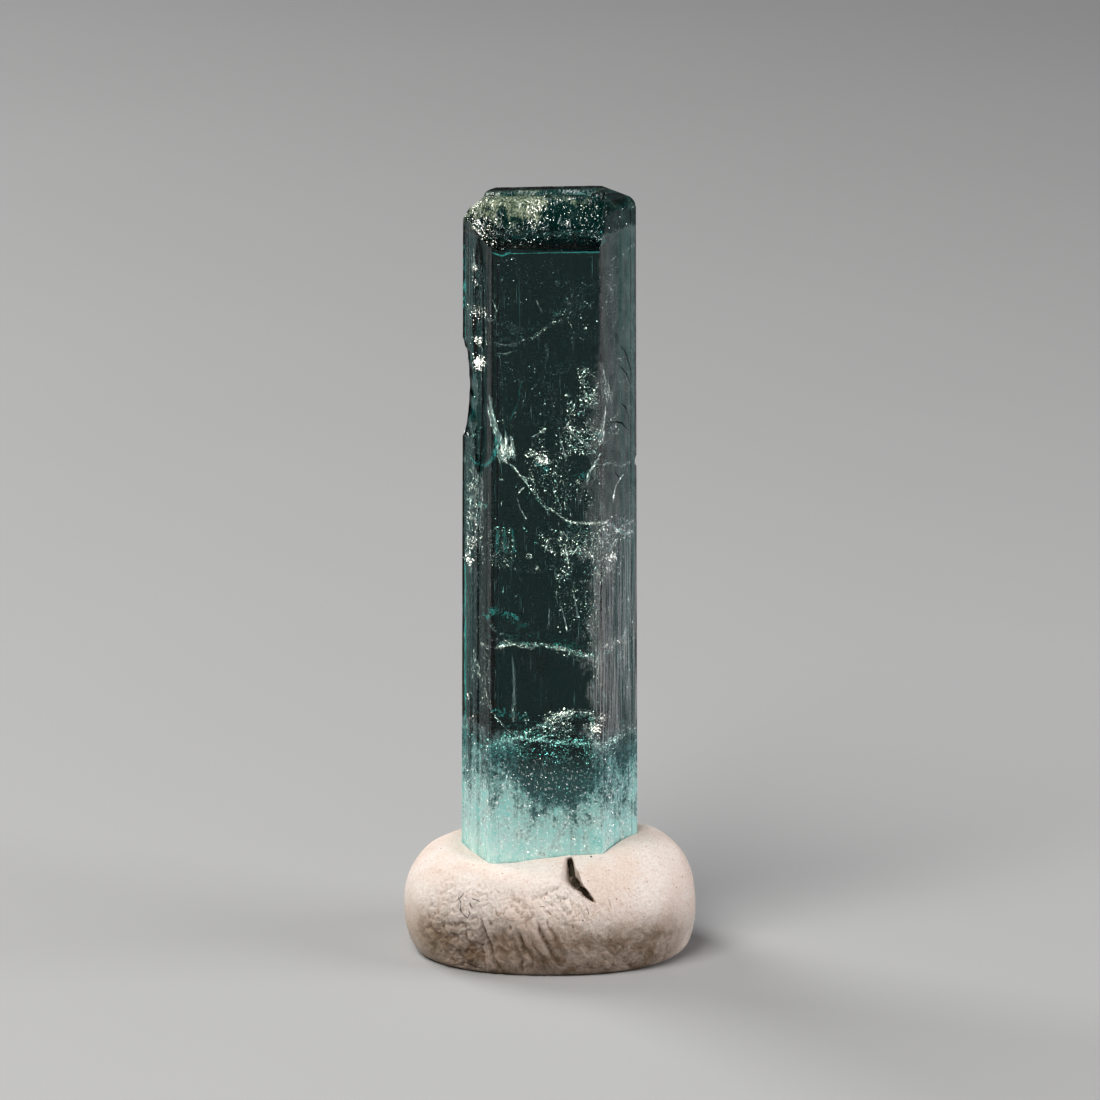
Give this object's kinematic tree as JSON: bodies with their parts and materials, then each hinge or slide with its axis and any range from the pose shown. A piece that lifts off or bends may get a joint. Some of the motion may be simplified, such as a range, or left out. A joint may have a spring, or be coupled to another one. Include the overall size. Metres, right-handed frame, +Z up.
{
  "type": "vanadium beryl crystal on a putty base",
  "caption": "Upright hexagonal crystal of see-through blue-green beryl with an etched, stepped top and a milky foot, held standing in a flattened lump of pale display putty.",
  "frame": {"origin": "middle of the flat underside of the putty, under the middle of the whole part's box", "axes": "+Z up along the crystal; the crystal's broad front face looks along -Y; +X to the right of that face"},
  "size_m": [0.015, 0.0112, 0.0389],
  "materials": {
    "beryl": "gloss",
    "putty": "matte"
  },
  "bodies": {
    "root": {"crystal": "beryl", "putty_base": "putty"}
  },
  "joints": []
}
